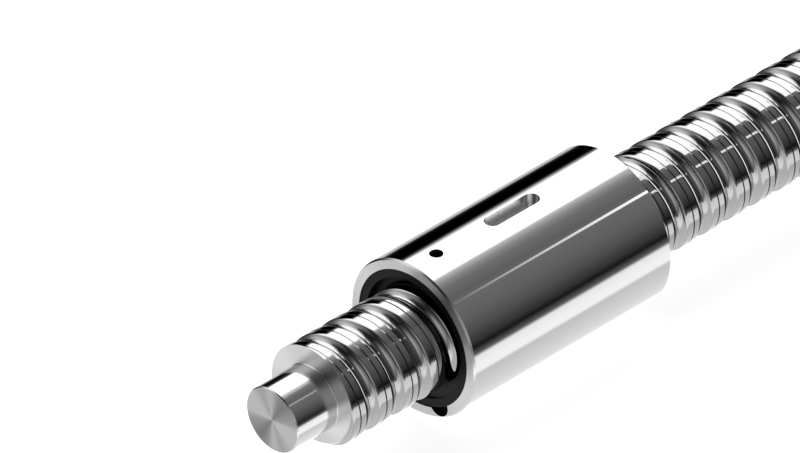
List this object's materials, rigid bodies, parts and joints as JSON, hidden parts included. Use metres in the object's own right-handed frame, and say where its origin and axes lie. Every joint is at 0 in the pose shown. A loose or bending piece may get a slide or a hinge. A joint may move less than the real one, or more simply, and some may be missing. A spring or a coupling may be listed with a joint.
{
  "type": "ball screw nut",
  "caption": "Cylindrical single ball nut with keyway, lubrication hole and thread-form wipers, running on a right-hand rolled ball screw with turned journals.",
  "frame": {"origin": "centre of the nut on the screw axis", "axes": "+X along the screw axis, away from the nut's front wiper; +Z through the lubrication hole and the keyway"},
  "size_m": [0.2458, 0.048, 0.048],
  "materials": {
    "nut_steel": "ground and polished",
    "screw_steel": "rolled, polished, journals turned",
    "ball_steel": "lapped",
    "wiper_plastic": "moulded",
    "insert_plastic": "moulded"
  },
  "bodies": {
    "nut": {"nut_body": "nut_steel", "front_wiper": "wiper_plastic", "rear_wiper": "wiper_plastic", "return_insert_1": "insert_plastic", "return_insert_2": "insert_plastic", "return_insert_3": "insert_plastic", "return_insert_4": "insert_plastic", "return_insert_5": "insert_plastic"},
    "balls": {"ball_circuit_1": "ball_steel", "ball_circuit_2": "ball_steel", "ball_circuit_3": "ball_steel", "ball_circuit_4": "ball_steel", "ball_circuit_5": "ball_steel"},
    "screw": {"ball_screw": "screw_steel"}
  },
  "joints": [
    {"name": "screw_turn", "type": "hinge", "parent": "nut", "child": "balls", "pos_m": [0, 0, 0], "axis": [1, 0, 0], "range_deg": [-3240, 1080], "deforming": ["ball_circuit_1", "ball_circuit_2", "ball_circuit_3", "ball_circuit_4", "ball_circuit_5"]},
    {"name": "screw_travel", "type": "slide", "parent": "balls", "child": "screw", "axis": [1, 0, 0], "range_m": [-0.09, 0.03]}
  ],
  "couplings": [
    {"joint": "screw_travel", "follows": "screw_turn", "m_per_rad": 0.0015915}
  ]
}
